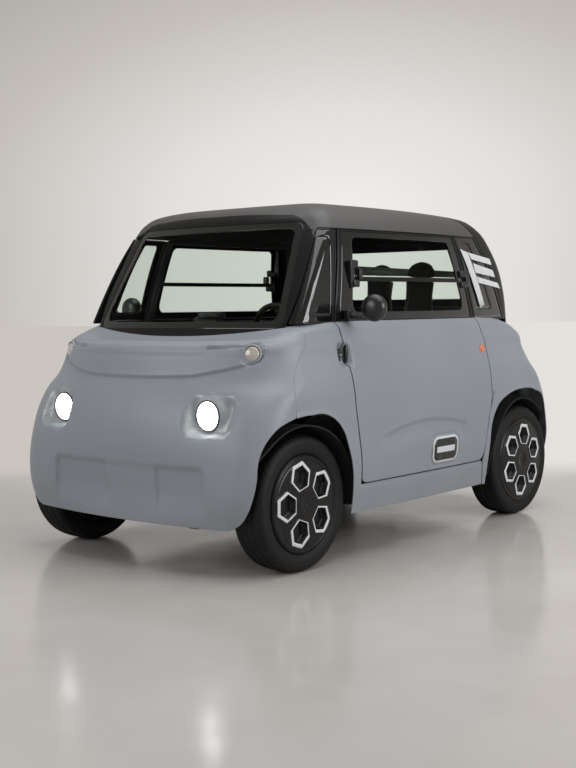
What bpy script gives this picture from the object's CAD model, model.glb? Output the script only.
"""Dressed model of the two-seat electric microcar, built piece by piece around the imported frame."""

from math import atan2, cos, hypot, pi, radians, sin, sqrt

import bmesh
import bpy
import numpy as np
from mathutils import Matrix, Vector


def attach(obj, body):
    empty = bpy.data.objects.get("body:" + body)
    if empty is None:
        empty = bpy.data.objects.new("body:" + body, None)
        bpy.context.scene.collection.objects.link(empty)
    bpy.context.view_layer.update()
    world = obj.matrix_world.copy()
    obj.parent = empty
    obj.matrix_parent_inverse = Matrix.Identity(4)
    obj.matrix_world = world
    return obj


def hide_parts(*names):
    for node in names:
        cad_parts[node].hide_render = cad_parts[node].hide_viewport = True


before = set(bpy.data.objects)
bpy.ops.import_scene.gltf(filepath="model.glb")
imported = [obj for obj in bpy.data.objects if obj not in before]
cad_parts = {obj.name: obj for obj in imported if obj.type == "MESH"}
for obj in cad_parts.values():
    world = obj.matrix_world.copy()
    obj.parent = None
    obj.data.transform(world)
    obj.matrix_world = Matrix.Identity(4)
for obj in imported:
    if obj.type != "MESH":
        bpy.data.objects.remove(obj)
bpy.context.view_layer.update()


# --- studio -----------------------------------------------------------------------------------
# A polished pale concrete floor under a bright hazy wall of light, with one large soft lamp above,
# one on the door side and a weak one ahead.

def linear(r, g, b):
    """Screen colour, 0 to 255, as a linear colour with full alpha."""
    c = np.array([r, g, b], float) / 255.0
    c = np.where(c <= 0.04045, c / 12.92, ((c + 0.055) / 1.055) ** 2.4)
    return (*c, 1.0)


def material(name, colour, rough=0.5, **sockets):
    """Principled material with plain socket values; returns it with its nodes, links and shader."""
    mat = bpy.data.materials.new(name)
    mat.use_nodes = True
    shader = mat.node_tree.nodes["Principled BSDF"]
    shader.inputs["Base Color"].default_value = colour
    shader.inputs["Roughness"].default_value = rough
    for key, value in sockets.items():
        shader.inputs[key.replace("_", " ")].default_value = value
    return mat, mat.node_tree.nodes, mat.node_tree.links, shader


def place(nodes, kind, **values):
    """New shader node; values name its sockets, or its own properties where it has no such socket."""
    node = nodes.new(kind)
    for key, value in values.items():
        socket = key.replace("_", " ")
        if socket in node.inputs:
            node.inputs[socket].default_value = value
        else:
            setattr(node, key, value)
    return node


def grid_mesh(name, grids, mat, weld=0.0):
    """Mesh from one or more (rows, columns, 3) point grids, four-sided faces between neighbours."""
    verts, faces, start = [], [], 0
    for grid in grids:
        rows, cols = grid.shape[:2]
        index = np.arange(rows * cols).reshape(rows, cols) + start
        quads = np.stack([index[:-1, :-1], index[:-1, 1:], index[1:, 1:], index[1:, :-1]], -1)
        verts.append(grid.reshape(-1, 3))
        faces.append(quads.reshape(-1, 4))
        start += rows * cols
    mesh = bpy.data.meshes.new(name)
    mesh.from_pydata(np.concatenate(verts), [], np.concatenate(faces).tolist())
    mesh.materials.append(mat)
    if weld:
        work = bmesh.new()
        work.from_mesh(mesh)
        bmesh.ops.remove_doubles(work, verts=work.verts, dist=weld)
        work.to_mesh(mesh)
        work.free()
    mesh.polygons.foreach_set("use_smooth", np.ones(len(mesh.polygons), bool))
    piece = bpy.data.objects.new(name, mesh)
    bpy.context.scene.collection.objects.link(piece)
    return piece


def studio_sheet():
    """Flat round floor: rings of growing radius round the origin."""
    radius = np.concatenate([[0.02], np.geomspace(0.5, 60.0, 30)])
    angle = np.linspace(0, 2 * pi, 73)
    flat = np.zeros((len(radius), len(angle)))
    return np.stack([radius[:, None] * np.cos(angle), radius[:, None] * np.sin(angle), flat], -1)[:, ::-1]


camera_yaw = radians(39.61)
camera_pitch = radians(3.68)
camera_roll = radians(-0.535)
camera_place = Vector((3.611, -4.507, 1.030))
frame_width_px = 576
focal_px = 1239.35
sensor = 36.0

back = Vector((sin(camera_yaw) * cos(camera_pitch), -cos(camera_yaw) * cos(camera_pitch), sin(camera_pitch)))
level = Vector((cos(camera_yaw), sin(camera_yaw), 0))
above = back.cross(level)
right = level * cos(camera_roll) + above * sin(camera_roll)
camera = bpy.data.objects.new("camera", bpy.data.cameras.new("camera"))
camera.data.sensor_fit = "HORIZONTAL"
camera.data.sensor_width = sensor
camera.data.lens = focal_px * sensor / frame_width_px
turned = Matrix((right, back.cross(right), back)).transposed().to_4x4()
camera.matrix_world = Matrix.Translation(camera_place) @ turned
bpy.context.scene.collection.objects.link(camera)
bpy.context.scene.camera = camera
bpy.context.scene.view_settings.view_transform = "Standard"

across = Vector((cos(camera_yaw), sin(camera_yaw), 0))
away = Vector((-sin(camera_yaw), cos(camera_yaw), 0))


def seen_directly(nodes, links):
    """1 for camera, mirror and see-through rays, 0 for the rays that light things."""
    path = nodes.new("ShaderNodeLightPath")
    first = place(nodes, "ShaderNodeMath", operation="ADD")
    second = place(nodes, "ShaderNodeMath", operation="ADD", use_clamp=True)
    links.new(path.outputs["Is Camera Ray"], first.inputs[0])
    links.new(path.outputs["Is Glossy Ray"], first.inputs[1])
    links.new(first.outputs[0], second.inputs[0])
    links.new(path.outputs["Is Transmission Ray"], second.inputs[1])
    return second.outputs[0]


def measured(nodes, links, vector, direction, low, high, to_low, to_high, smooth=False):
    """Distance along a direction, mapped from one pair of limits to another."""
    dot = place(nodes, "ShaderNodeVectorMath", operation="DOT_PRODUCT")
    dot.inputs[1].default_value = direction
    span = place(nodes, "ShaderNodeMapRange", From_Min=low, From_Max=high, To_Min=to_low, To_Max=to_high)
    span.interpolation_type = "SMOOTHSTEP" if smooth else "LINEAR"
    links.new(vector, dot.inputs[0])
    links.new(dot.outputs["Value"], span.inputs["Value"])
    return span.outputs["Result"]


concrete, nodes, links, shader = material("studio_concrete", linear(180, 174, 168), 0.2)
where = place(nodes, "ShaderNodeTexCoord")
clouds = place(nodes, "ShaderNodeTexNoise", Scale=0.9, Detail=6.0, Roughness=0.62)
tone = place(nodes, "ShaderNodeValToRGB")
tone.color_ramp.elements[0].position = 0.3
tone.color_ramp.elements[0].color = linear(178, 172, 166)
tone.color_ramp.elements[1].position = 0.72
tone.color_ramp.elements[1].color = linear(190, 185, 180)
patches = place(nodes, "ShaderNodeTexNoise", Scale=2.6, Detail=8.0, Roughness=0.7)
polish = place(nodes, "ShaderNodeMapRange", From_Min=0.35, From_Max=0.7, To_Min=0.10, To_Max=0.26)
ripple = place(nodes, "ShaderNodeBump", Strength=0.12, Distance=0.004)
far_light = nodes.new("ShaderNodeEmission")
far_tone = place(nodes, "ShaderNodeValToRGB")
far_tone.color_ramp.elements[0].color = linear(202, 197, 191)
far_tone.color_ramp.elements[1].color = linear(228, 225, 221)
share = place(nodes, "ShaderNodeMath", operation="MULTIPLY")
blend = nodes.new("ShaderNodeMixShader")
links.new(where.outputs["Object"], clouds.inputs["Vector"])
links.new(where.outputs["Object"], patches.inputs["Vector"])
links.new(clouds.outputs["Fac"], tone.inputs["Fac"])
links.new(tone.outputs["Color"], shader.inputs["Base Color"])
links.new(patches.outputs["Fac"], polish.inputs["Value"])
links.new(polish.outputs["Result"], shader.inputs["Roughness"])
links.new(patches.outputs["Fac"], ripple.inputs["Height"])
links.new(ripple.outputs["Normal"], shader.inputs["Normal"])
sideways = measured(nodes, links, where.outputs["Object"], across, -1.9, 1.7, 0.0, 1.0)
links.new(sideways, far_tone.inputs["Fac"])
links.new(far_tone.outputs["Color"], far_light.inputs["Color"])
links.new(seen_directly(nodes, links), share.inputs[0])
links.new(measured(nodes, links, where.outputs["Object"], away, 1.2, 2.3, 0.0, 1.0, True), share.inputs[1])
links.new(share.outputs[0], blend.inputs["Fac"])
links.new(shader.outputs["BSDF"], blend.inputs[1])
links.new(far_light.outputs["Emission"], blend.inputs[2])
links.new(blend.outputs["Shader"], nodes["Material Output"].inputs["Surface"])
shader.inputs["Specular IOR Level"].default_value = 0.5
studio = grid_mesh("studio_floor", [studio_sheet()], concrete)

world = bpy.data.worlds.new("studio_air")
bpy.context.scene.world = world
world.use_nodes = True
nodes, links = world.node_tree.nodes, world.node_tree.links
air = nodes["Background"]
air.inputs["Color"].default_value = (0.93, 0.95, 1.0, 1.0)
air.inputs["Strength"].default_value = 0.5
toward = place(nodes, "ShaderNodeTexCoord").outputs["Generated"]
sideways = measured(nodes, links, toward, across, -0.266, 0.362, -1.1, 1.1)
upward = measured(nodes, links, toward, Vector((0, 0, 1)), 0.0715, 0.3975, 0.0, 2.0)
downward = measured(nodes, links, toward, Vector((0, 0, 1)), 0.0715, -0.5285, 0.0, 1.0)
parts = nodes.new("ShaderNodeCombineXYZ")
spread = place(nodes, "ShaderNodeVectorMath", operation="LENGTH")
half_spread = place(nodes, "ShaderNodeMath", operation="MULTIPLY")
half_spread.inputs[1].default_value = 0.5
glow = place(nodes, "ShaderNodeValToRGB")
for index, value in enumerate((sideways, upward, downward)):
    links.new(value, parts.inputs[index])
links.new(parts.outputs["Vector"], spread.inputs[0])
links.new(spread.outputs["Value"], half_spread.inputs[0])
links.new(half_spread.outputs[0], glow.inputs["Fac"])
glow.color_ramp.elements[0].color = linear(240, 239, 237)
glow.color_ramp.elements[1].color = linear(150, 146, 142)
for position, colour in ((0.25, (226, 223, 220)), (0.5, (197, 192, 188)), (0.75, (170, 166, 162))):
    glow.color_ramp.elements.new(position).color = linear(*colour)
hazy = nodes.new("ShaderNodeBackground")
both = nodes.new("ShaderNodeMixShader")
links.new(glow.outputs["Color"], hazy.inputs["Color"])
links.new(seen_directly(nodes, links), both.inputs["Fac"])
links.new(air.outputs["Background"], both.inputs[1])
links.new(hazy.outputs["Background"], both.inputs[2])
links.new(both.outputs["Shader"], nodes["World Output"].inputs["Surface"])


def soft_light(name, place_at, aim_at, size, watts):
    """Rectangular lamp at one point, turned to face another."""
    lamp = bpy.data.lights.new(name, "AREA")
    lamp.shape = "RECTANGLE"
    lamp.size, lamp.size_y = size
    lamp.energy = watts
    holder = bpy.data.objects.new(name, lamp)
    towards = Vector(aim_at) - Vector(place_at)
    holder.matrix_world = Matrix.Translation(place_at) @ towards.to_track_quat("-Z", "Y").to_matrix().to_4x4()
    bpy.context.scene.collection.objects.link(holder)


soft_light("ceiling_light", (0.9, -0.2, 4.4), (0.1, 0.0, 0.6), (4.2, 4.6), 128)
soft_light("side_light", (5.4, 0.6, 2.3), (0.4, 0.1, 0.8), (3.0, 2.4), 130)
soft_light("nose_light", (-1.8, -5.6, 2.6), (0.0, -0.8, 0.6), (3.0, 2.2), 84)


# --- body surface and end panels -------------------------------------------------------------------
# The nose and tail are one plastic moulding used twice: bumper, lamp recesses, a raised band and a
# shelf up to the glass, mass-coloured grey-blue with a fine matt grain, clipped to the floor frame.

MM = 0.001
WELD = 0.00001
sill_z = 190.0
belt_z = 965.0
roof_seam_z = 1335.0
apex_z = 1480.7

# Level sections of the lower body: height, half width, reach, then the corner circle's centre
# in from the side and in from the end, and its radius.
LOWER = np.array([
    [190.0, 672.0, 1194.0, 157.0, 179.0, 130.0],
    [276.0, 694.0, 1200.0, 168.0, 175.0, 140.0],
    [390.0, 711.0, 1210.0, 173.0, 205.0, 155.0],
    [513.0, 716.0, 1204.0, 183.0, 212.0, 150.0],
    [613.0, 714.0, 1184.0, 193.0, 233.0, 160.0],
    [690.0, 709.0, 1154.0, 204.0, 264.0, 176.0],
    [733.0, 704.0, 1130.0, 218.0, 290.0, 190.0],
    [829.0, 690.0, 1106.0, 249.0, 296.0, 200.0],
    [868.0, 682.0, 1094.0, 237.0, 288.0, 190.0],
    [908.0, 671.0, 1020.0, 216.0, 250.0, 170.0],
    [940.0, 662.0, 938.0, 182.0, 213.0, 140.0],
    [965.0, 652.0, 868.0, 147.0, 143.0, 75.0],
])


def along_rows(knots, values, at):
    """Each column read at the places given: a cubic through the rows with slopes from their neighbours."""
    slope = np.gradient(values, knots, axis=0)
    at = np.clip(at, knots[0], knots[-1])
    k = np.clip(np.searchsorted(knots, at) - 1, 0, len(knots) - 2)
    h = (knots[k + 1] - knots[k])[..., None]
    t = (at[..., None] - knots[k][..., None]) / h
    a = values[k] * (1 + 2 * t) * (1 - t) ** 2 + values[k + 1] * t ** 2 * (3 - 2 * t)
    b = slope[k] * h * t * (1 - t) ** 2 - slope[k + 1] * h * t ** 2 * (1 - t)
    return np.moveaxis(a + b, -1, 0)


def arcs(half_w, reach, cx, cy, radius):
    """Side and end radii of a level section, and the normal angles where its arcs meet."""
    side_r = (radius ** 2 - cy ** 2 - (cx - half_w) ** 2) / (2 * (cx - half_w + radius))
    end_r = (radius ** 2 - cx ** 2 - (cy - reach) ** 2) / (2 * (cy - reach + radius))
    side_stop = np.arctan2(cy, cx - half_w + side_r)
    end_start = np.arctan2(cy - reach + end_r, cx)
    return side_r, end_r, side_stop, end_start


def lower_section(z):
    """Section values of the lower body at heights z, with the corner centre as a place."""
    half_w, reach, in_x, in_y, radius = along_rows(LOWER[:, 0], LOWER[:, 1:], np.asarray(z, float))
    return half_w, reach, half_w - in_x, reach - in_y, radius


def x_on_section(section, y):
    """Half width of a level section at distance y from mid-length: side, corner or end arc."""
    half_w, reach, cx, cy, radius = section
    side_r, end_r, side_stop, end_start = arcs(*section)
    y = np.minimum(np.abs(y), reach)
    on_side = half_w - side_r + np.sqrt(np.maximum(side_r ** 2 - y ** 2, 0))
    on_corner = cx + np.sqrt(np.maximum(radius ** 2 - (y - cy) ** 2, 0))
    on_end = np.sqrt(np.maximum(end_r ** 2 - (y - reach + end_r) ** 2, 0))
    ends = cy + radius * np.sin(end_start)
    return np.where(y <= side_r * np.sin(side_stop), on_side, np.where(y <= ends, on_corner, on_end))


def round_section(section, length):
    """Point at a distance along a level section, measured from the centre plane round to the side."""
    half_w, reach, cx, cy, radius = section
    side_r, end_r, side_stop, end_start = arcs(*section)
    end_len = end_r * (pi / 2 - end_start)
    corner_len = radius * (end_start - side_stop)
    d = np.abs(length)
    angle_end = pi / 2 - d / end_r
    angle_corner = end_start - (d - end_len) / radius
    angle_side = side_stop - (d - end_len - corner_len) / side_r
    on_end, on_corner = d < end_len, d < end_len + corner_len
    x = np.where(on_end, end_r * np.cos(angle_end),
                 np.where(on_corner, cx + radius * np.cos(angle_corner),
                          half_w - side_r + side_r * np.cos(angle_side)))
    y = np.where(on_end, reach - end_r + end_r * np.sin(angle_end),
                 np.where(on_corner, cy + radius * np.sin(angle_corner), side_r * np.sin(angle_side)))
    return x * np.sign(length), y


def lengths_where(section, x=None, y=None):
    """For each row, the distance along its section at which it reaches x, or comes back to y."""
    found = []
    for row in range(len(section[0])):
        one = [value[row] for value in section]
        d = np.linspace(0.0, one[0] + one[1] - 60.0, 900)
        xs, ys = round_section(one, d)
        xs = np.where(d > 0, xs, 0.0)
        if x is not None:
            found.append(np.interp(x[row], np.maximum.accumulate(xs), d))
        else:
            found.append(np.interp(-y[row], np.maximum.accumulate(-ys), d))
    return np.array(found)


def pushed(grid, depth):
    """Grid moved along its own normals by depth, outwards positive."""
    normal = np.cross(np.gradient(grid, axis=1), np.gradient(grid, axis=0))
    normal /= np.linalg.norm(normal, axis=-1, keepdims=True) + 1e-12
    return grid + normal * depth[..., None]


def step(low, high, value):
    """Smooth rise from 0 to 1 between two limits."""
    t = np.clip((value - low) / (high - low), 0, 1)
    return t * t * (3 - 2 * t)


def rounded_box(x, y, half_x, half_y, radius):
    """Signed distance to a rounded rectangle, negative inside."""
    dx = np.abs(x) - half_x + radius
    dy = np.abs(y) - half_y + radius
    outside = np.hypot(np.maximum(dx, 0), np.maximum(dy, 0))
    return outside + np.minimum(np.maximum(dx, dy), 0) - radius


lamp_x, lamp_z = 411.0, 612.0
indicator_x, indicator_z = 521.0, 843.0
axle_y, tyre_radius = 840.0, 265.0
bumper_end_x = 572.0

# Side outlines of the two arches, each three neighbouring points one arc: distance from the axle
# towards the car's end, and height.
LEFT_FRONT_ARCH = [(300, 170), (284, 290), (271, 401), (243, 500), (170, 575), (80, 602), (-11, 608),
                   (-129, 586), (-195, 510), (-232, 390), (-268, 170)]
LEFT_REAR_ARCH = [(300, 170), (282, 300), (268, 420), (235, 515), (160, 582), (50, 612), (-79, 617),
                  (-186, 602), (-279, 568), (-342, 500), (-363, 397), (-358, 290), (-334, 170)]

# Seam between an end panel and the wings beside it: distance from mid-length, and height.
SEAM = np.array([(921, 603), (921, 625), (917, 709), (888, 773), (860, 810), (817, 852), (803, 874),
                 (790, 912), (798, 936), (800, 965)], float)


def through(points, per_arc=16):
    """Outline through the points, each three neighbouring ones on one circular arc."""
    line = []
    for i in range(0, len(points) - 2, 2):
        a, b, c = (np.array(point, float) for point in points[i:i + 3])
        d = 2 * (a[0] * (b[1] - c[1]) + b[0] * (c[1] - a[1]) + c[0] * (a[1] - b[1]))
        cx = (a @ a * (b[1] - c[1]) + b @ b * (c[1] - a[1]) + c @ c * (a[1] - b[1])) / d
        cy = (a @ a * (c[0] - b[0]) + b @ b * (a[0] - c[0]) + c @ c * (b[0] - a[0])) / d
        first = atan2(a[1] - cy, a[0] - cx)
        swing = (atan2(c[1] - cy, c[0] - cx) - first + pi) % (2 * pi) - pi
        angle = first + swing * np.linspace(0, 1, per_arc)[:-1]
        radius = hypot(a[0] - cx, a[1] - cy)
        line.append(np.stack([cx + radius * np.cos(angle), cy + radius * np.sin(angle)], -1))
    return np.concatenate(line + [np.array([points[-1]], float)])


near_arch = through(LEFT_FRONT_ARCH)
far_arch = through(LEFT_REAR_ARCH)


def seam_at(z):
    """Distance of the seam from mid-length at each height."""
    return along_rows(SEAM[:, 1], SEAM[:, :1], np.asarray(z, float))[0]


band_x = np.array([0.0, 200.0, 316.0, 434.0, 500.0, 543.0, 562.0, 568.0])
band_z = np.array([748.0, 751.0, 757.0, 780.0, 797.0, 815.0, 840.0, 881.0])
lamp_recess = (433.0, 610.0, 110.0, 83.0, 52.0)


def nose_relief(x, z):
    """Depth of the mouldings at each point of the nose: lamp recesses, raised band, bumper pocket."""
    far = np.abs(x)
    recess = rounded_box(far - lamp_recess[0], z - lamp_recess[1], *lamp_recess[2:])
    depth = -30.0 * (1 - step(-34.0, 3.0, recess))
    rise = np.gradient(band_z, band_x)
    under = (np.interp(far, band_x, band_z) - z) / np.sqrt(1 + np.interp(far, band_x, rise) ** 2)
    border = np.maximum(under, np.maximum(z - 881.0, far - 568.0))
    depth += 6.0 * (1 - step(-9.0, 2.0, border)) * (1 - step(-4.0, 22.0, -border) * 0.35)
    depth -= 3.5 * np.exp(-((border - 3.0) / 4.0) ** 2)
    slot = rounded_box(far - 436.0, z - 869.0 - 0.06 * (far - 436.0), 92.0, 4.0, 4.0)
    depth -= 11.0 * (1 - step(-1.0, 3.0, slot)) + 2.5 * (1 - step(3.0, 26.0, slot)) * (z < 868.0)
    spot = np.hypot(far - indicator_x, z - indicator_z)
    depth -= 9.0 * (1 - step(39.0, 45.0, spot))
    pocket = rounded_box(x - 22.0, z - 318.0, 424.0, 103.0, 34.0)
    middle = step(-72.0, -66.0, x) * (1 - step(203.0, 211.0, x))
    fall = step(205.0, 330.0, z)
    depth -= (16.0 - 9.0 * middle) * (1 - step(-16.0, 2.0, pocket)) * fall
    depth -= 5.0 * np.exp(-((x + 69.0) / 4.0) ** 2) * (1 - step(-14.0, -4.0, pocket)) * step(250.0, 300.0, z)
    depth -= 0.6 * (1 - step(0.0, 60.0, np.abs(z - 425.0)))
    return depth


def edge_lengths(section, z, arch):
    """Where the end panel stops at each height: on its arch, then on the seam."""
    front_part = arch[:, 0] > 60.0
    on_arch = axle_y + np.interp(z, arch[front_part, 1], arch[front_part, 0])
    y = np.where(z < 603.0, on_arch, seam_at(z))
    limit = bumper_end_x * (1 - step(600.0, 680.0, z))
    corner = 42.0 - np.sqrt(np.maximum(42.0 ** 2 - np.maximum(232.0 - z, 0) ** 2, 0))
    return np.maximum(lengths_where(section, y=y), lengths_where(section, x=limit)) - corner


def shelf_drop(x, z):
    """How far the shelf under the glass sinks, most at the centre."""
    return 53.0 * np.maximum(1 - 0.75 * (x / 600.0) ** 2, 0) * step(880.0, 952.0, z)


def end_panel_points():
    """Nose from seam to seam: rows run up from the bumper to the glass, columns run round the car."""
    rows = np.concatenate([np.linspace(sill_z, 560, 40), np.linspace(566, 622, 10), np.linspace(630, 734, 13),
                           np.linspace(738, 890, 36), np.linspace(895, 964.8, 11)])
    section = lower_section(rows)
    left = edge_lengths(section, rows, near_arch)
    right = edge_lengths(section, rows, far_arch)
    length = -right[:, None] + (left + right)[:, None] * np.linspace(0, 1, 176)
    x, y = round_section([value[:, None] for value in section], length)
    z = np.broadcast_to(rows[:, None], x.shape)
    grid = pushed(np.stack([x, -y, z], -1), nose_relief(x, z))
    grid[..., 2] -= shelf_drop(x, z)
    from_lamp = np.hypot(np.abs(grid[..., 0]) - lamp_x, grid[..., 2] - lamp_z)
    seat = 1 - step(60.0, 88.0, from_lamp)
    grid[..., 1] = grid[..., 1] * (1 - seat) - 1116.0 * seat
    return grid * MM


def walled(piece, thickness, edge=0.0012):
    """Gives an open skin its wall on the inner side and a small round on its edges."""
    wall = piece.modifiers.new("wall", "SOLIDIFY")
    wall.thickness = thickness
    wall.offset = -1.0
    if edge:
        soft = piece.modifiers.new("edge", "BEVEL")
        soft.width = edge
        soft.segments = 2
        soft.limit_method = "ANGLE"
        soft.angle_limit = radians(50)
    return piece


def fit(piece, body, slot, *replaced):
    """Rides a piece on its body, names its finish and hides the nodes that it stands for."""
    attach(piece, body)
    if replaced:
        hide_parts(*replaced)
    return piece


def shell(name, grids, mat, thickness, body, slot, *replaced, edge=0.0012, weld=0.0):
    """Open skin from point grids with a wall behind it, fitted to its body."""
    return fit(walled(grid_mesh(name, grids, mat, weld), thickness, edge), body, slot, *replaced)


def grain_group():
    """Shared matt grain: a fine noise as height, and a slow drift of tone."""
    group = bpy.data.node_groups.new("moulded_grain", "ShaderNodeTree")
    for name in ("Scale", "Strength"):
        group.interface.new_socket(name, in_out="INPUT", socket_type="NodeSocketFloat")
    group.interface.new_socket("Normal", in_out="OUTPUT", socket_type="NodeSocketVector")
    group.interface.new_socket("Drift", in_out="OUTPUT", socket_type="NodeSocketFloat")
    source = group.nodes.new("NodeGroupInput")
    sink = group.nodes.new("NodeGroupOutput")
    spot = group.nodes.new("ShaderNodeTexCoord")
    fine = place(group.nodes, "ShaderNodeTexNoise", Detail=3.0, Roughness=0.55)
    slow = place(group.nodes, "ShaderNodeTexNoise", Scale=1.6, Detail=3.0, Roughness=0.5)
    bump = place(group.nodes, "ShaderNodeBump", Distance=0.0004)
    join = group.links.new
    join(spot.outputs["Object"], fine.inputs["Vector"])
    join(spot.outputs["Object"], slow.inputs["Vector"])
    join(source.outputs["Scale"], fine.inputs["Scale"])
    join(fine.outputs["Fac"], bump.inputs["Height"])
    join(source.outputs["Strength"], bump.inputs["Strength"])
    join(bump.outputs["Normal"], sink.inputs["Normal"])
    join(slow.outputs["Fac"], sink.inputs["Drift"])
    return group


grain = grain_group()


def moulding(name, dark, light, rough, scale, strength, **sockets):
    """Grained finish: colour drifts between two near tones and the surface carries the shared grain."""
    mat, nodes, links, shader = material(name, linear(*light), rough, **sockets)
    use = nodes.new("ShaderNodeGroup")
    use.node_tree = grain
    use.inputs["Scale"].default_value = scale
    use.inputs["Strength"].default_value = strength
    tone = place(nodes, "ShaderNodeValToRGB")
    tone.color_ramp.elements[0].position = 0.3
    tone.color_ramp.elements[0].color = linear(*dark)
    tone.color_ramp.elements[1].position = 0.7
    tone.color_ramp.elements[1].color = linear(*light)
    links.new(use.outputs["Drift"], tone.inputs["Fac"])
    links.new(tone.outputs["Color"], shader.inputs["Base Color"])
    links.new(use.outputs["Normal"], shader.inputs["Normal"])
    return mat


turn = np.array([-1.0, -1.0, 1.0])
body_plastic = moulding("body_plastic", (128, 132, 138), (136, 140, 146), 0.40, 900.0, 0.35,
                        Specular_IOR_Level=0.4)
lamp_silver = moulding("lamp_silver", (138, 144, 147), (158, 163, 166), 0.38, 300.0, 0.08,
                       Metallic=0.2)
for name, node, flip in (("nose_panel", "front_panel", 1.0), ("tail_panel", "rear_panel", turn)):
    panel = grid_mesh(name, [end_panel_points() * flip], body_plastic)
    panel.data.materials.append(lamp_silver)
    middles = np.empty(len(panel.data.polygons) * 3)
    panel.data.polygons.foreach_get("center", middles)
    middles = np.abs(middles.reshape(-1, 3)) / MM
    around = rounded_box(middles[:, 0] - lamp_recess[0], middles[:, 2] - lamp_recess[1], *lamp_recess[2:])
    panel.data.polygons.foreach_set("material_index", (around < -2.0).astype(int))
    fit(walled(panel, 0.004), "body", "body_plastic", node)


# --- wings and sills ---------------------------------------------------------------------------------
# Four plastic wings in the same moulding, each cut round its arch with a rolled lip, and a straight
# sill under each door; they are screwed to the floor frame behind the doors and the bumpers.

def resampled(points, count):
    """Even points along a polyline, its corners kept to within one step."""
    points = np.array(points, float)
    run = np.concatenate([[0], np.cumsum(np.linalg.norm(np.diff(points, axis=0), axis=1))])
    at = np.linspace(0, run[-1], count)
    return np.stack([np.interp(at, run, points[:, i]) for i in range(points.shape[1])], -1)


def between_curves(low, high, left, right):
    """Grid in (y, z) filled from its four border curves: each row and column blends the opposite two."""
    v = np.linspace(0, 1, len(left))[:, None, None]
    u = np.linspace(0, 1, len(low))[None, :, None]
    rows = (1 - v) * low[None] + v * high[None]
    cols = (1 - u) * left[:, None] + u * right[:, None]
    corners = ((1 - v) * ((1 - u) * low[0] + u * low[-1]) + v * ((1 - u) * high[0] + u * high[-1]))
    return rows + cols - corners


def on_lower(grid):
    """Side surface over a (y, z) grid of the lower body, left side."""
    y, z = grid[..., 0], grid[..., 1]
    x = x_on_section(lower_section(z), y)
    return np.stack([x, y, z], -1)


def wing_points(sign, arch, door_edge):
    """Left wing at one end of the car, from its seam to the door and from its arch to the belt."""
    ends_at = seam_at(604.0) - axle_y
    kept = arch[(arch[:, 0] < ends_at) & (arch[:, 1] >= sill_z)]
    foot = np.array([np.interp(sill_z, arch[:-60:-1, 1], arch[:-60:-1, 0]), sill_z])
    across_arch = arch[::-1][np.argsort(arch[::-1, 0])]
    start = np.array([ends_at, np.interp(ends_at, across_arch[:, 0], across_arch[:, 1])])
    low = resampled(np.concatenate([[start], kept, [foot]]), 82)
    low[:, 0] = sign * (axle_y + low[:, 0])
    heights = np.linspace(low[0, 1], belt_z - 0.5, 66)
    seam = np.stack([sign * seam_at(heights), heights], -1)
    door = resampled(door_edge, 66)
    high = np.stack([np.linspace(seam[-1, 0], door[-1, 0], 82), np.full(82, belt_z - 0.5)], -1)
    grid = between_curves(low, high, seam, door)
    if sign > 0:
        grid = grid[:, ::-1]
    y, z = grid[..., 0], grid[..., 1]
    lip = np.min(np.hypot(y[..., None] - low[::2, 0], z[..., None] - low[::2, 1]), axis=-1)
    scoop = handle_hollow(y, z)
    points = pushed(on_lower(grid), 2.5 * (1 - step(7.0, 18.0, lip)) - 26.0 * scoop)
    points[..., 2] -= shelf_drop(points[..., 0], points[..., 2]) * step(620.0, 790.0, np.abs(points[..., 1]))
    return points * MM


def handle_hollow(y, z):
    """1 inside the finger hollow beside the door's free edge, falling to 0 on its rim."""
    hollow = rounded_box(y + 588.0, z - 830.0, 48.0, 50.0, 26.0)
    return 1 - step(-22.0, 0.0, hollow)


front_door_edge = [(-556.0, 190.0), (-530.0, 190.0), (-528.0, 306.0), (-570.0, 605.0), (-584.0, 815.0),
                   (-600.0, 965.0)]
rear_door_edge = [(478.0, 190.0), (452.0, 190.0), (410.0, 306.0), (482.0, 605.0), (474.0, 855.0),
                  (446.0, 965.0)]
near_wing = wing_points(-1, near_arch, front_door_edge)
far_wing = wing_points(1, far_arch, rear_door_edge)
for name, points, flip in (("left_front_wing", near_wing, 1.0), ("left_rear_wing", far_wing, 1.0),
                           ("right_rear_wing", near_wing, turn), ("right_front_wing", far_wing, turn)):
    shell(name + "_skin", [points * flip], body_plastic, 0.004, "body", "body_plastic", name)


def sill_points():
    """Left sill from wing to wing: level rows that roll under at the bottom."""
    low = np.stack([np.linspace(-529.0, 452.0, 90), np.full(90, sill_z)], -1)
    high = np.stack([np.linspace(-527.0, 411.0, 90), np.full(90, 305.0)], -1)
    left = np.stack([np.linspace(-529.0, -527.0, 20), np.linspace(sill_z, 305.0, 20)], -1)
    right = np.stack([np.linspace(452.0, 411.0, 20), np.linspace(sill_z, 305.0, 20)], -1)
    grid = between_curves(low, high, left, right)
    depth = -3.0 - 5.0 * step(292.0, 304.0, grid[..., 1])
    return pushed(on_lower(grid), depth) * MM


for name, flip in (("left_sill", 1.0), ("right_sill", turn)):
    shell(name, [sill_points() * flip], body_plastic, 0.004, "body", "body_plastic")


# --- doors -------------------------------------------------------------------------------------------
# Each door is a plastic skin with a raised plate and a crescent moulding low down, and a scoop at its
# free edge. The window frame above is a black pressing with two panes and a bar between them.

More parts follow.
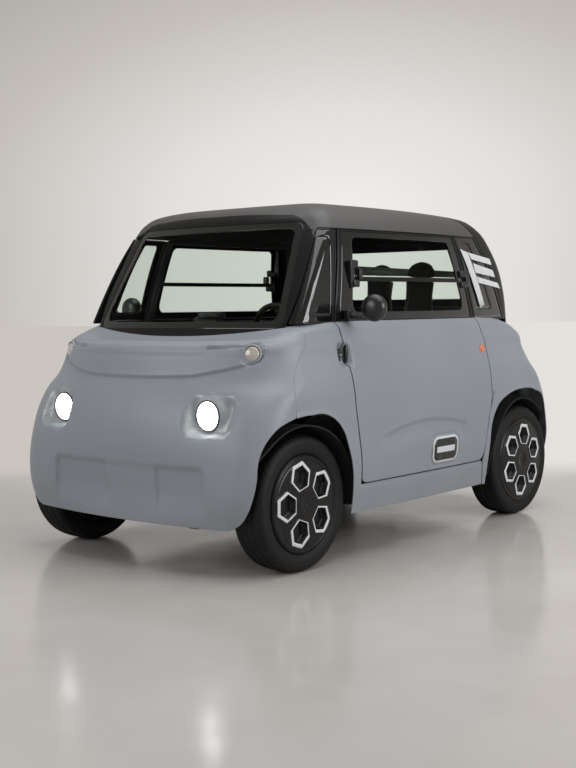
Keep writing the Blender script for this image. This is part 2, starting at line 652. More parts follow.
cabin_rows = np.array([
    [903.68, 652.0, 892.0, 540.0, 758.0, 60.0, 915.0, 470.0, 780.0, 120.0],
    [1067.2, 636.0, 806.0, 530.0, 676.0, 60.0, 895.0, 462.0, 762.0, 122.0],
    [1194.95, 618.0, 735.0, 520.0, 606.0, 60.0, 855.0, 452.0, 722.0, 122.0],
    [1297.15, 597.0, 678.0, 505.0, 551.0, 60.0, 802.0, 432.0, 670.0, 120.0],
    [1343.14, 582.0, 652.0, 492.0, 524.0, 62.0, 774.0, 420.0, 640.0, 118.0],
    [1391.685, 548.0, 618.0, 452.0, 492.0, 72.0, 740.0, 388.0, 610.0, 112.0],
    [1422.345, 500.0, 572.0, 400.0, 455.0, 78.0, 705.0, 352.0, 590.0, 100.0],
    [1445.34, 420.0, 470.0, 320.0, 375.0, 80.0, 630.0, 275.0, 530.0, 90.0],
    [1463.225, 290.0, 320.0, 205.0, 240.0, 76.0, 490.0, 180.0, 410.0, 74.0],
    [1476.0, 150.0, 160.0, 90.0, 100.0, 55.0, 340.0, 80.0, 285.0, 50.0],
    [apex_z - 0.02, 6.0, 20.0, 3.0, 14.0, 2.0, 190.0, 3.0, 180.0, 2.0],
])
cabin_knots = -np.sqrt(apex_z - cabin_rows[:, 0])


def cabin_section(z, rear):
    """Section values of the cabin at heights z for one end; they run with the root of the drop."""
    place_at = -np.sqrt(np.maximum(apex_z - np.asarray(z, float), 0.02))
    columns = [1, 6, 7, 8, 9] if rear else [1, 2, 3, 4, 5]
    return tuple(along_rows(cabin_knots, cabin_rows[:, columns], place_at))


def on_cabin(grid):
    """Side surface over a (y, z) grid of the cabin, left side."""
    y, z = grid[..., 0], grid[..., 1]
    front = x_on_section(cabin_section(z, False), y)
    rear = x_on_section(cabin_section(z, True), y)
    return np.stack([np.where(y < 0, front, rear), y, z], -1)


def edge_at(points, z):
    """y of a polyline that climbs in z, read at each z."""
    points = np.array(points, float)
    return np.interp(z, points[:, 1], points[:, 0])


door_front = [(-522.0, 310.0), (-564.0, 605.0), (-578.0, 815.0), (-594.0, 965.0), (-504.0, 1333.0)]
door_rear = [(400.0, 314.0), (476.0, 605.0), (468.0, 855.0), (440.0, 965.0), (345.0, 1333.0)]
capsule_y, capsule_z = 67.0, 396.0


def door_skin_points():
    """Left door below the belt: rows climb, columns run from the free edge to the hinge edge."""
    z = np.linspace(312.0, 961.0, 92)
    corner = 26.0 - np.sqrt(np.maximum(26.0 ** 2 - np.maximum(338.0 - z, 0) ** 2, 0))
    front = edge_at(door_front, z) + corner
    rear = edge_at(door_rear, z) - corner
    y = front[:, None] + (rear - front)[:, None] * np.linspace(0, 1, 120)
    grid = np.stack([y, np.broadcast_to(z[:, None], y.shape)], -1)
    depth = door_relief(y, grid[..., 1])
    return pushed(on_lower(grid), depth) * MM


def door_relief(y, z):
    """Raised plate, its flat surround, the crescent above it and the finger hollow, in millimetres."""
    plate = rounded_box(y - capsule_y, z - capsule_z, 104.0, 61.0, 38.0)
    depth = -4.0 * (1 - step(4.0, 15.0, plate)) + 7.0 * (1 - step(-3.0, 1.0, plate))
    arch = 530.0 - 0.00042 * (y + 60.0) ** 2
    crescent = (1 - step(0.0, 8.0, z - arch)) * step(-95.0, -14.0, z - arch)
    crescent = crescent * step(-425.0, -330.0, y) * (1 - step(215.0, 262.0, y))
    pad = rounded_box(y + 500.0, z - 828.0, 58.0, 50.0, 24.0)
    depth += 2.5 * (1 - step(-6.0, 6.0, pad)) * step(-600.0, -560.0, y)
    return depth - 7.0 * crescent - 26.0 * (1 - step(-576.0, -556.0, y)) * handle_hollow(y, z)


def corner_points(corners, radius, per_side):
    """Closed (y, z) loop round corner points, each corner rounded, evenly filled side by side."""
    corners = np.array(corners, float)
    count = len(corners)
    starts, ends, arcs_at = [], [], []
    for i in range(count):
        before, here, after = corners[i - 1], corners[i], corners[(i + 1) % count]
        a = (before - here) / np.linalg.norm(before - here)
        b = (after - here) / np.linalg.norm(after - here)
        half = np.arccos(np.clip(a @ b, -1, 1)) / 2
        run = radius / np.tan(half)
        middle = here + (a + b) / np.linalg.norm(a + b) * radius / np.sin(half)
        starts.append(here + a * run)
        ends.append(here + b * run)
        arcs_at.append(middle)
    loop = []
    for i in range(count):
        c = arcs_at[i]
        first = atan2(*(starts[i] - c)[::-1])
        last = atan2(*(ends[i] - c)[::-1])
        swing = (last - first + pi) % (2 * pi) - pi
        for t in np.linspace(0, 1, 7):
            angle = first + swing * t
            loop.append(c + radius * np.array([cos(angle), sin(angle)]))
        side_end = starts[(i + 1) % count]
        for t in np.linspace(0, 1, per_side + 2)[1:-1]:
            loop.append(ends[i] * (1 - t) + side_end * t)
    return np.array(loop + [loop[0]])


def ring_grid(inner, outer, rings):
    """Grid between two closed loops of as many points, inner loop first."""
    t = np.linspace(0, 1, rings)[:, None, None]
    return (1 - t) * inner[None] + t * outer[None]


window_corners = [(-478.0, 997.0), (-424.0, 1302.0), (280.0, 1302.0), (352.0, 997.0)]
frame_corners = [(-596.0, 951.0), (-504.0, 1332.0), (345.0, 1332.0), (442.0, 951.0)]
bar_z = 1131.0


def toward(loop, other, share):
    """Loop moved part of the way to another one of as many points."""
    return loop * (1 - share) + other * share


def door_frame_grids():
    """Door window in (x, y, z): the outer frame, the printed border inside it, and the bar."""
    inner = corner_points(window_corners, 30.0, 24)
    outer = corner_points(frame_corners, 10.0, 24)
    edge = toward(outer, inner, 0.28)
    printed = on_cabin(ring_grid(inner, edge, 8))
    printed[..., 0] -= 2.5
    z = np.linspace(bar_z - 9.0, bar_z + 9.0, 5)
    front = edge_at([(-478.0, 997.0), (-424.0, 1302.0)], z) - 3.0
    rear = edge_at([(352.0, 997.0), (280.0, 1302.0)], z) + 3.0
    y = front[:, None] + (rear - front)[:, None] * np.linspace(0, 1, 90)
    bar = on_cabin(np.stack([y, np.broadcast_to(z[:, None], y.shape)], -1))
    return on_cabin(ring_grid(edge, outer, 4)), printed, bar


def pane_points(front, rear, low, high, sink):
    """Window pane between two slanted edges and two heights, set in from the frame's face."""
    z = np.linspace(low, high, 14)
    y = edge_at(front, z)[:, None] + (edge_at(rear, z) - edge_at(front, z))[:, None] * np.linspace(0, 1, 50)
    points = on_cabin(np.stack([y, np.broadcast_to(z[:, None], y.shape)], -1))
    points[..., 0] -= sink
    return points * MM


black_plastic = moulding("black_plastic", (30, 30, 30), (38, 38, 37), 0.36, 700.0, 0.25)
frame_black = moulding("frame_black", (8, 9, 9), (12, 13, 13), 0.32, 700.0, 0.15,
                       Specular_IOR_Level=0.28)
printed_glass = moulding("printed_glass", (9, 11, 10), (14, 16, 15), 0.06, 40.0, 0.01,
                         Coat_Weight=0.6, Coat_Roughness=0.03)
clear_glass, nodes, links, shader = material("window_glass", linear(236, 242, 237), 0.02,
                                             Transmission_Weight=1.0, IOR=1.05)
smear = place(nodes, "ShaderNodeTexNoise", Scale=3.0, Detail=4.0)
haze = place(nodes, "ShaderNodeMapRange", From_Min=0.4, From_Max=0.7, To_Min=0.0, To_Max=0.05)
where = place(nodes, "ShaderNodeTexCoord")
links.new(where.outputs["Object"], smear.inputs["Vector"])
links.new(smear.outputs["Fac"], haze.inputs["Value"])
links.new(haze.outputs["Result"], shader.inputs["Roughness"])

smoked_glass = moulding("smoked_glass", (16, 18, 17), (22, 24, 23), 0.05, 30.0, 0.01,
                        Coat_Weight=0.5, Coat_Roughness=0.03)
pane_front = [(-500.0, 985.0), (-440.0, 1316.0)]
pane_rear = [(374.0, 985.0), (296.0, 1316.0)]
for side, flip in (("left", 1.0), ("right", turn)):
    body = side + "_door"
    shell(side + "_door_outer", [door_skin_points() * flip], body_plastic, 0.004, body, "body_plastic",
          side + "_door_skin")
    frame_grid, printed_grid, bar_grid = (grid * MM * flip for grid in door_frame_grids())
    shell(side + "_window_surround", [frame_grid], frame_black, 0.016, body, "black_plastic",
          side + "_door_window_frame", weld=WELD)
    shell(side + "_window_border", [printed_grid], printed_glass, 0.005, body, "black_plastic", weld=WELD)
    shell(side + "_window_bar", [bar_grid], frame_black, 0.012, body, "black_plastic")
    panes = [pane_points(pane_front, pane_rear, 985.0, bar_z - 4.0, 4.0) * flip,
             pane_points(pane_front, pane_rear, bar_z + 4.0, 1316.0, 6.0) * flip]
    shell(side + "_window_glass", panes, clear_glass, 0.004, body, "glass", side + "_door_panes", edge=0)


# --- roof --------------------------------------------------------------------------------------------
# One matt dark-grey moulding that caps the cabin between the two glazed ends, sealed to them and to
# the door frames along a fine shut line, and softly domed.

def windscreen_line(z):
    """Seam between roof side and windscreen frame, seen from the side."""
    return -798.0 + 0.551 * (z - 950.0)


def rear_line(z):
    """Seam between roof side and rear window frame, seen from the side."""
    return 800.0 - 0.60 * (z - 950.0)


def roof_points():
    """Roof from seam to seam: each row is cut by a leaned plane, its columns even along the arc."""
    rows = []
    z = np.concatenate([np.linspace(roof_seam_z + 1, 1445, 46),
                        apex_z - np.linspace(sqrt(apex_z - 1446), 0.15, 66) ** 2])
    for s in np.linspace(0.0, 1.0, 90):
        y = (1 - s) * windscreen_line(z) + s * rear_line(z) + (1.0 - 2.0 * s) * 1.2
        x = on_cabin(np.stack([y, z], -1))[:, 0]
        reach = np.where(y < 0, cabin_section(z, False)[1], cabin_section(z, True)[1])
        keep = (np.abs(y) < reach) & (x > 0.5)
        last = np.argmin(keep) if not keep.all() else len(z)
        half = np.stack([x[:last], y[:last], z[:last]], -1)
        half = np.concatenate([half, [[0.0, half[-1, 1], half[-1, 2] + 0.2]]])
        half = resampled(half, 56)
        rows.append(np.concatenate([half, (half * np.array([-1.0, 1.0, 1.0]))[-2::-1]]))
    return np.array(rows)[:, ::-1] * MM


header = np.array([(0, 1403), (200, 1402), (325, 1395), (420, 1384), (474, 1352), (503, 1323),
                   (520, 1300)], float)


def header_z(x):
    """Height of the seam between roof and windscreen frame, by distance from the centre plane."""
    return along_rows(header[:, 0], header[:, 1:], np.abs(np.asarray(x, float)))[0]


def end_face(x, z, rear=False):
    """Points of the cabin's end face at given x and z."""
    section = cabin_section(z, rear)
    along = lengths_where(section, x=np.abs(x))
    px, py = round_section(section, np.maximum(along, 1e-6))
    return np.stack([px * np.where(x < 0, -1.0, 1.0), py if rear else -py, z], -1)


def header_points(edge):
    """Roof ahead of its leaned front edge: straight down the end face from that edge to the seam."""
    x, z = edge[:, 0], edge[:, 2]
    low = np.minimum(header_z(x), z)
    rows = [edge]
    for share in np.linspace(0, 1, 13)[1:]:
        rows.append(end_face(x, z + (low - z) * share))
    grid = np.array(rows)
    grid[-1] = np.where((z - low < 0.5)[:, None], edge, grid[-1])
    return grid


roof_plastic = moulding("roof_plastic", (66, 65, 64), (76, 75, 74), 0.5, 620.0, 0.4)
roof_grid = roof_points()
roof_edge = roof_grid[0] / MM
middle_part = np.abs(roof_edge[:, 0]) < 524.0
shell("roof_skin", [roof_grid, header_points(roof_edge[middle_part])[::-1] * MM], roof_plastic, 0.006,
      "body", "roof_plastic", "roof", weld=0.00002)


# --- windscreen, rear window and quarter windows -----------------------------------------------------
# Black frames carry the curved end screens; the dark border round each is printed on the glass. The
# small quarter windows between them and the doors are fixed panes bonded into the same black frame.

def front_at(grid, rear):
    """Cabin end surface over a grid of (distance round from the centre plane, height)."""
    d, z = grid[..., 0], grid[..., 1]
    x, y = round_section(cabin_section(z, rear), np.where(d == 0, 1e-6, d))
    return np.stack([x, y if rear else -y, z], -1)


def end_loop(z_low, line, rear):
    """Right half, from low to top, of an end frame's outer edge in (distance, height)."""
    top = 1322.0 if not rear else 1395.0
    z = np.linspace(z_low, top, 60)
    section = cabin_section(z, rear)
    rise = np.stack([lengths_where(section, y=np.abs(line(z)) + 1.0), z], -1)
    if rear:
        z = np.linspace(1397, 1478, 60)
        section = cabin_section(z, rear)
        inside = np.abs(line(z)) + 1.0 < section[1] - 0.5
        last = len(z) if inside.all() else np.argmin(inside)
        z, section = z[:last], [value[:last] for value in section]
        return rise, np.stack([lengths_where(section, y=np.abs(line(z)) + 1.0), z], -1)
    x = np.linspace(502.0, 0.0, 60)
    z = header_z(x) - 1.5
    return rise, np.stack([lengths_where(cabin_section(z, rear), x=x), z], -1)


def end_rings(corners, inset, z_low, line, rear):
    """Two rings of one end screen: its frame, from the outline to the glass, and the printed border."""
    hole = corner_points(corners, 40.0, 26)
    hole[:, 0] = lengths_where(cabin_section(hole[:, 1], rear), x=np.abs(hole[:, 0])) * np.sign(hole[:, 0])
    rise, over = end_loop(z_low, line, rear)
    mirror = np.array([-1.0, 1.0])
    quarter = (len(hole) - 1) // 4
    left = resampled(rise * mirror, quarter + 1)
    top = resampled(np.concatenate([rise[-1:] * mirror, over * mirror, over[::-1], rise[-1:]]), quarter + 1)
    right = resampled(rise[::-1], quarter + 1)
    base = resampled([rise[0], rise[0] * mirror], quarter + 1)
    outer = np.concatenate([left[:-1], top[:-1], right[:-1], base])
    hole = np.roll(hole[:-1], -3, axis=0)
    hole = np.concatenate([hole, hole[:1]])
    middle = np.array([0.0, np.mean([c[1] for c in corners])])
    size = np.abs(np.array(corners) - middle).max(axis=0)
    clear = middle + (hole - middle) * (1 - np.array(inset) / size)
    printed = front_at(ring_grid(clear, hole, 7), rear)
    printed[..., 1] += -2.0 if rear else 2.0
    return front_at(ring_grid(hole, outer, 14), rear), printed


def end_pane(corners, rear, grow, sink):
    """Screen glass: rows climb, columns run across, a little larger than its hole and set in."""
    (x0, z0), (x1, z1) = corners[0], corners[1]
    z = np.linspace(z0 - grow, z1 + grow, 24)
    half = np.interp(z, [z0, z1], [abs(x0), abs(x1)]) + grow
    section = cabin_section(z, rear)
    length = lengths_where(section, x=half)
    d = length[:, None] * np.linspace(-1, 1, 44)
    x, y = round_section([value[:, None] for value in section], np.where(d == 0, 1e-6, d))
    y = y - sink
    return np.stack([x, y if rear else -y, np.broadcast_to(z[:, None], x.shape)], -1)


screen_corners = [(-526.0, 935.0), (-462.0, 1362.0), (462.0, 1362.0), (526.0, 935.0)]
rear_corners = [(-470.0, 1010.0), (-420.0, 1335.0), (420.0, 1335.0), (470.0, 1010.0)]
for name, corners, inset, line, rear, sign, node in (
        ("windscreen", screen_corners, (34.0, 26.0), windscreen_line, False, -1, "windscreen_frame"),
        ("rear_window", rear_corners, (52.0, 40.0), rear_line, True, 1, "rear_window_frame")):
    grids = [*end_rings(corners, inset, 905.0, line, rear), end_pane(corners, rear, -6.0, 7.0)]
    frame_grid, printed_grid, pane = (grid[:, ::-sign] * MM for grid in grids)
    shell(name + "_surround", [frame_grid], frame_black, 0.012, "body", "black_plastic", node, weld=WELD)
    shell(name + "_border", [printed_grid], printed_glass, 0.005, "body", "black_plastic", weld=WELD)
    shell(name + "_glass", [pane], clear_glass, 0.005, "body", "glass", name, edge=0)


def quarter_grids(sign):
    """Fixed side window of one end, left side: its surround, printed border and pane."""
    low, high = 952.0, 1333.0
    if sign < 0:
        outer = [(windscreen_line(low) + 1, low), (windscreen_line(high) + 1, high), (-511.0, high),
                 (-605.0, low)]
    else:
        outer = [(451.0, low), (352.0, high), (rear_line(high) - 1, high), (rear_line(low) - 1, low)]
    middle = np.mean(outer, axis=0)
    inner = [tuple(middle + (np.array(p) - middle) * np.array([0.60, 0.84])) for p in outer]
    if sign > 0:
        inner = [(477.0, 1000.0), (397.0, 1308.0), (484.0, 1308.0), (644.0, 1000.0)]
    loop = corner_points(inner, 14.0, 14)
    edge = corner_points(outer, 4.0, 14)
    frame_ring = on_cabin(ring_grid(toward(edge, loop, 0.2), edge, 3)) * MM
    printed = on_cabin(ring_grid(loop, toward(edge, loop, 0.2), 5))
    printed[..., 0] -= 1.5
    front, rear = [inner[0], inner[1]], [inner[3], inner[2]]
    return frame_ring, printed * MM, pane_points(front, rear, inner[0][1] - 8, inner[1][1] + 8, 4.0)


for sign, end in ((-1, "front"), (1, "rear")):
    here, there = quarter_grids(sign), quarter_grids(-sign)
    rims, borders, panes = ([near, far * turn] for near, far in zip(here, there))
    shell(end + "_quarter_surrounds", rims, frame_black, 0.010, "body", "black_plastic",
          end + "_quarter_panes", weld=WELD)
    shell(end + "_quarter_borders", borders, printed_glass, 0.004, "body", "black_plastic", weld=WELD)
    smoked = panes[:1] if sign < 0 else panes
    shell(end + "_quarter_smoked_glass", smoked, smoked_glass, 0.004, "body", "glass", edge=0)
    if sign < 0:
        shell(end + "_quarter_glass", panes[1:], clear_glass, 0.004, "body", "glass", edge=0)


# --- wheels ------------------------------------------------------------------------------------------
# Steel wheels on narrow tyres behind full black covers with light hexagons printed on them: five at
# the front, six at the rear. The tread is cut with grooves and sipes.

wheel_x = 580.0

# Covers by number of hexagons: cover radius, angle of the first from the rearward horizontal, ring
# radius, and the size over corners of the printed outline.
COVERS = {5: (193.0, 34.5, 116.0, 60.0), 6: (205.0, 22.5, 125.0, 56.0)}


def spun(profile, count):
    """Surface of revolution about X: rows are profile points (along, radius), columns go round."""
    profile = np.array(profile, float)
    angle = np.linspace(0, 2 * pi, count + 1)
    along = np.broadcast_to(profile[:, :1], (len(profile), count + 1))
    return np.stack([along, profile[:, 1:] * np.cos(angle), profile[:, 1:] * np.sin(angle)], -1)


def smooth_line(points, count):
    """Curve through a few points by a cubic on their running length."""
    points = np.array(points, float)
    run = np.concatenate([[0], np.cumsum(np.linalg.norm(np.diff(points, axis=0), axis=1))])
    return along_rows(run, points, np.linspace(0, run[-1], count)).T


def tyre_points():
    """Tyre about the X axis: the section from bead to bead, cut by three grooves and slanted sipes."""
    section = smooth_line([(-60, 184), (-71, 204), (-75, 226), (-73, 246), (-62, 259), (-40, 263.5), (0, 265),
                           (40, 263.5), (62, 259), (73, 246), (75, 226), (71, 204), (60, 184)], 66)
    inner = np.array([(56.0, 188.0), (-56.0, 188.0)])
    grid = spun(np.vstack([section, inner, section[:1]]), 228)
    along = grid[..., 0]
    angle = np.arctan2(grid[..., 2], grid[..., 1])
    radius = np.hypot(grid[..., 1], grid[..., 2])
    tread = step(254.0, 260.0, radius)
    cut = np.zeros_like(along)
    for groove in (-30.0, 0.0, 30.0):
        cut = np.maximum(cut, 1 - step(2.0, 4.5, np.abs(along - groove)))
    sipe = np.abs((angle * 60 / (2 * pi) + np.abs(along) * 0.018) % 1.0 - 0.5) * 2
    side = step(10.0, 14.0, np.abs(along)) * (1 - step(0.12, 0.24, sipe))
    radius = radius - 5.5 * tread * np.maximum(cut, 0.7 * side)
    rib = np.exp(-((np.hypot(grid[..., 1], grid[..., 2]) - 216.0) / 2.0) ** 2)
    along = along + np.sign(along) * 1.0 * rib * (np.abs(along) > 68.0)
    return np.stack([along, radius * np.cos(angle), radius * np.sin(angle)], -1)


def at_corner(points, x_sign, y_sign):
    """Wheel piece drawn about X placed at one corner; right wheels are turned half round."""
    flip = np.array([x_sign, x_sign, 1.0])
    return (points * flip + np.array([x_sign * wheel_x, y_sign * axle_y, tyre_radius])) * MM


def hexagon_frame(count, index, y, z):
    """Place of points relative to one hexagon: outwards from the hub, and across."""
    around = radians(COVERS[count][1] + 360.0 * index / count)
    ring = COVERS[count][2]
    dy, dz = y - ring * cos(around), z - ring * sin(around)
    return dy * cos(around) + dz * sin(around), dz * cos(around) - dy * sin(around), around


def hexagon_reach(u, v, size):
    """Distance outside a hexagon with one flat facing outwards, negative inside."""
    slope = sqrt(3) / 2
    reach = np.max([np.abs(u), np.abs(u * 0.5 + v * slope), np.abs(u * 0.5 - v * slope)], axis=0)
    return reach - size * slope


def cover_dome(r, outer):
    """Height of the cover's face along the axle at distance r from its centre."""
    groove = 1 - step(2.0, 5.0, np.abs(r - outer + 20.0))
    return 84.0 - 9.0 * (r / outer) ** 2 - 6.0 * step(outer - 11.0, outer, r) - 3.0 * groove


def cover_points(count):
    """Full cover: a polar surface, fine round the ring, with a deep pocket inside each hexagon."""
    outer, _, ring, size = COVERS[count]
    radius = np.concatenate([np.linspace(0.4, ring - size - 4, 7), np.linspace(ring - size, ring + size, 38),
                             np.linspace(ring + size + 3, outer, 5)])
    angle = np.linspace(0, 2 * pi, 181)
    r, a = radius[:, None] + 0 * angle, angle + 0 * radius[:, None]
    y, z = r * np.cos(a), r * np.sin(a)
    dome = cover_dome(r, outer)
    for index in range(count):
        u, v, _ = hexagon_frame(count, index, y, z)
        dome = dome - 24.0 * (1 - step(-5.0, -0.5, hexagon_reach(u + 6.0, v, size - 10.5)))
        dome = dome + 2.0 * (1 - step(0.0, 5.0, hexagon_reach(u, v, size)))
    dome = dome - 5.0 * (1 - step(20.0, 25.0, r)) + 3.0 * (1 - step(8.0, 12.0, r))
    return np.stack([dome, y, z], -1)


def hexagon_bands(count):
    """Printed outlines: a flat band round each pocket, thick on the side away from the hub."""
    outer_radius, _, ring, size = COVERS[count]
    bands = []
    for index in range(count):
        _, _, around = hexagon_frame(count, index, 0.0, 0.0)
        angles = np.radians(30.0 + 60.0 * np.arange(7))
        outline = resampled(np.stack([size * np.cos(angles), size * np.sin(angles)], -1), 73)
        hole = outline * (size - 11.0) / size + np.array([-6.0, 0.0])
        rings = ring_grid(hole, outline, 4)
        y = (ring + rings[..., 0]) * cos(around) - rings[..., 1] * sin(around)
        z = (ring + rings[..., 0]) * sin(around) + rings[..., 1] * cos(around)
        lift = cover_dome(np.hypot(y, z), outer_radius) + np.array([2.6, 3.2, 3.2, 2.6])[:, None]
        bands.append(np.stack([lift, y, z], -1)[:, ::-1])
    return bands


def rim_points():
    """Steel wheel: barrel, well and inner flange behind the cover."""
    barrel = [(69, 181), (60, 178), (50, 160), (30, 152), (-10, 150), (-40, 156), (-56, 172), (-60, 181)]
    return spun(smooth_line(barrel, 26), 72)


def disc_points():
    """Wheel disc from the barrel to the hub, dished."""
    return spun(smooth_line([(30, 152), (40, 120), (44, 80), (34, 40), (30, 22)], 12), 72)


rubber = moulding("tyre_rubber", (6, 6, 6), (12, 12, 11), 0.6, 420.0, 0.5,
                  Specular_IOR_Level=0.3)
cover_black = moulding("cover_black", (5, 5, 5), (9, 9, 9), 0.30, 600.0, 0.15,
                       Specular_IOR_Level=0.3)
print_white = moulding("print_white", (190, 192, 192), (208, 210, 210), 0.35, 500.0, 0.1)
wheel_steel = moulding("wheel_steel", (30, 31, 33), (44, 45, 47), 0.45, 300.0, 0.2, Metallic=0.6)
for side, x_sign in (("left", 1), ("right", -1)):
    for end, y_sign, count in (("front", -1, 5), ("rear", 1, 6)):
        corner = side + "_" + end
        body = corner + "_wheel"
        placed = lambda grids: [at_corner(grid, x_sign, y_sign) for grid in grids]
        tyre = grid_mesh(corner + "_tread_tyre", placed([tyre_points()]), rubber, WELD)
        fit(tyre, body, "tyre_rubber", corner + "_tyre")
        for name, grids, mat, thickness, nodes in (
                ("_cover", [cover_points(count)[:, ::-1]], cover_black, 0.003, [corner + "_wheel"]),
                ("_hexagons", hexagon_bands(count), print_white, 0.0016, []),
                ("_rim", [rim_points(), disc_points()], wheel_steel, 0.003, [])):
            shell(corner + name, placed(grids), mat, thickness, body, "wheel_finish", *nodes,
                  edge=0, weld=WELD)


# --- lamps -------------------------------------------------------------------------------------------
# Round lamps on screws in the moulded recesses: lit white ahead, red behind; small round indicators
# at the ends of the raised band, and an amber repeater pushed into each door.

def lathe(profile, count, centre, axis):
    """Surface turned about any axis: profile points are (distance along the axis, radius)."""
    axis = np.array(axis, float) / np.linalg.norm(axis)
    side = np.cross(axis, [0.0, 0.0, 1.0])
    side /= np.linalg.norm(side)
    ring = spun(profile, count)
    return (np.array(centre, float) + ring[..., :1] * axis + ring[..., 1:2] * side
            + ring[..., 2:] * np.cross(axis, side))


def block(centre, half, power=0.3, count=18, lean=0.0):
    """Closed rounded block: a sphere whose sines and cosines are raised to a small power."""
    u = np.linspace(-pi / 2, pi / 2, count)[:, None]
    v = np.linspace(-pi, pi, 2 * count + 1)[None, :]
    soft = lambda w: np.sign(w) * np.abs(w) ** power
    x = half[0] * soft(np.cos(u)) * soft(np.cos(v))
    y = half[1] * soft(np.cos(u)) * soft(np.sin(v))
    z = half[2] * soft(np.sin(u)) + 0 * v
    return np.stack([x, y + lean * z, z], -1) + np.array(centre, float)


def lens(name, dark, light, glow, **sockets):
    """Lamp glass: fine prism bumps, two near tones, and light of its own where glow is above 0."""
    mat = moulding(name, dark, light, 0.12, 260.0, 0.25, Coat_Weight=0.8, Coat_Roughness=0.04, **sockets)
    if glow:
        nodes, links = mat.node_tree.nodes, mat.node_tree.links
        where = place(nodes, "ShaderNodeTexCoord")
        cells = place(nodes, "ShaderNodeTexVoronoi", Scale=130.0)
        power = place(nodes, "ShaderNodeMapRange", From_Max=0.8, To_Min=glow, To_Max=glow * 0.55)
        links.new(where.outputs["Object"], cells.inputs["Vector"])
        links.new(cells.outputs["Distance"], power.inputs["Value"])
        links.new(power.outputs["Result"], nodes["Principled BSDF"].inputs["Emission Strength"])
        nodes["Principled BSDF"].inputs["Emission Color"].default_value = (1.0, 1.0, 1.0, 1.0)
    return mat


lit_lens = lens("lit_lens", (225, 228, 230), (240, 242, 244), 7.0)
red_lens = lens("red_lens", (96, 8, 10), (128, 12, 14), 0)
clear_lens = lens("clear_lens", (176, 170, 158), (214, 208, 196), 0, Transmission_Weight=0.25)
amber_lens = lens("amber_lens", (205, 92, 30), (226, 112, 44), 0)
lens_profile = [(-8, 55), (1, 54.8), (5, 52), (9, 40), (11, 22), (12, 0.4)]
bezel_profile = [(-8, 61), (3, 60.5), (6, 58.5), (4, 56), (-8, 55.5)]
small_profile = [(-12, 30), (-4, 29.5), (1, 27), (4, 18), (6, 8), (6.5, 0.4)]
small_bezel = [(-12, 38), (-3, 37.5), (-1, 35), (-6, 31), (-12, 30.5)]
lamp_places = [((x, -1116.0, lamp_z), (0, -1, 0)) for x in (-lamp_x, lamp_x)]
signal_places = [((sign * indicator_x, -986.0, indicator_z), (0.36 * sign, -0.92, 0.14)) for sign in (-1, 1)]
for end, flip, glass, node, stands_for in (("front", 1.0, lit_lens, "headlamps", ["indicators"]),
                                           ("rear", turn, red_lens, "rear_lamps", [])):
    for name, profile, rows, around, spots, mat, thickness, slot, nodes in (
            ("_lamp_glass", lens_profile, 12, 52, lamp_places, glass, 0.002, "lamp_lens", [node]),
            ("_lamp_bezels", bezel_profile, 10, 52, lamp_places, black_plastic, 0.0015, "black_plastic", []),
            ("_indicator_glass", small_profile, 12, 44, signal_places, clear_lens, 0.002, "lamp_lens",
             stands_for),
            ("_indicator_bezels", small_bezel, 10, 44, signal_places, lamp_silver, 0.0015,
             "black_plastic", [])):
        turned = [lathe(smooth_line(profile, rows), around, *spot) * MM * flip for spot in spots]
        shell(end + name, turned, mat, thickness, "body", slot, *nodes, edge=0, weld=WELD)
repeater_base = on_lower(np.array([430.0, 818.0]))
repeater_profile = [(-3, 20), (1, 20), (4, 17), (6.5, 10), (7.5, 0.4)]
for side, flip in (("left", 1.0), ("right", turn)):
    dome = lathe(smooth_line(repeater_profile, 14), 48, repeater_base, (1.0, 0.12, 0.0)) * MM * flip
    shell(side + "_repeater", [dome], amber_lens, 0.0015, side + "_door", "lamp_lens", edge=0, weld=WELD)


# --- door and quarter panel trim --------------------------------------------------------------------
# A black plate in a white surround with a blank white bar is stuck on each door's raised pad. The
# catch is a black block in the finger hollow; window catches and hinge clips are black mouldings
# screwed through the glass. Light stripes are stuck on the rear quarter.

def on_plate(half_y, half_z, radius, lift):
    """Rounded patch on the door's pad: rings from near its middle out to its edge, lifted off the side."""
    corners = [(-half_y, -half_z), (-half_y, half_z), (half_y, half_z), (half_y, -half_z)]
    outer = corner_points(corners, radius, 10)
    rings = ring_grid(outer * 0.02, outer, 6) + np.array([capsule_y, capsule_z])
    points = on_lower(rings)
    points[..., 0] += lift
    return points


def sticker(corners, lift=2.8):
    """Thin four-cornered stripe on the cabin's side: its corners blended evenly in both directions."""
    a, b, c, d = (np.array(corner, float) for corner in corners)
    u = np.linspace(0, 1, 40)[None, :, None]
    v = np.linspace(0, 1, 8)[:, None, None]
    grid = on_cabin((1 - v) * ((1 - u) * d + u * c) + v * ((1 - u) * a + u * b))
    grid[..., 0] += lift
    return grid * MM


plate_black = moulding("plate_black", (24, 25, 27), (34, 35, 37), 0.3, 500.0, 0.15)
plates = (("_plate_surround", print_white, (101.0, 58.0, 36.0, 3.4)),
          ("_plate", plate_black, (90.0, 47.0, 27.0, 4.4)),
          ("_plate_bar", print_white, (72.0, 13.0, 6.0, 5.4)))

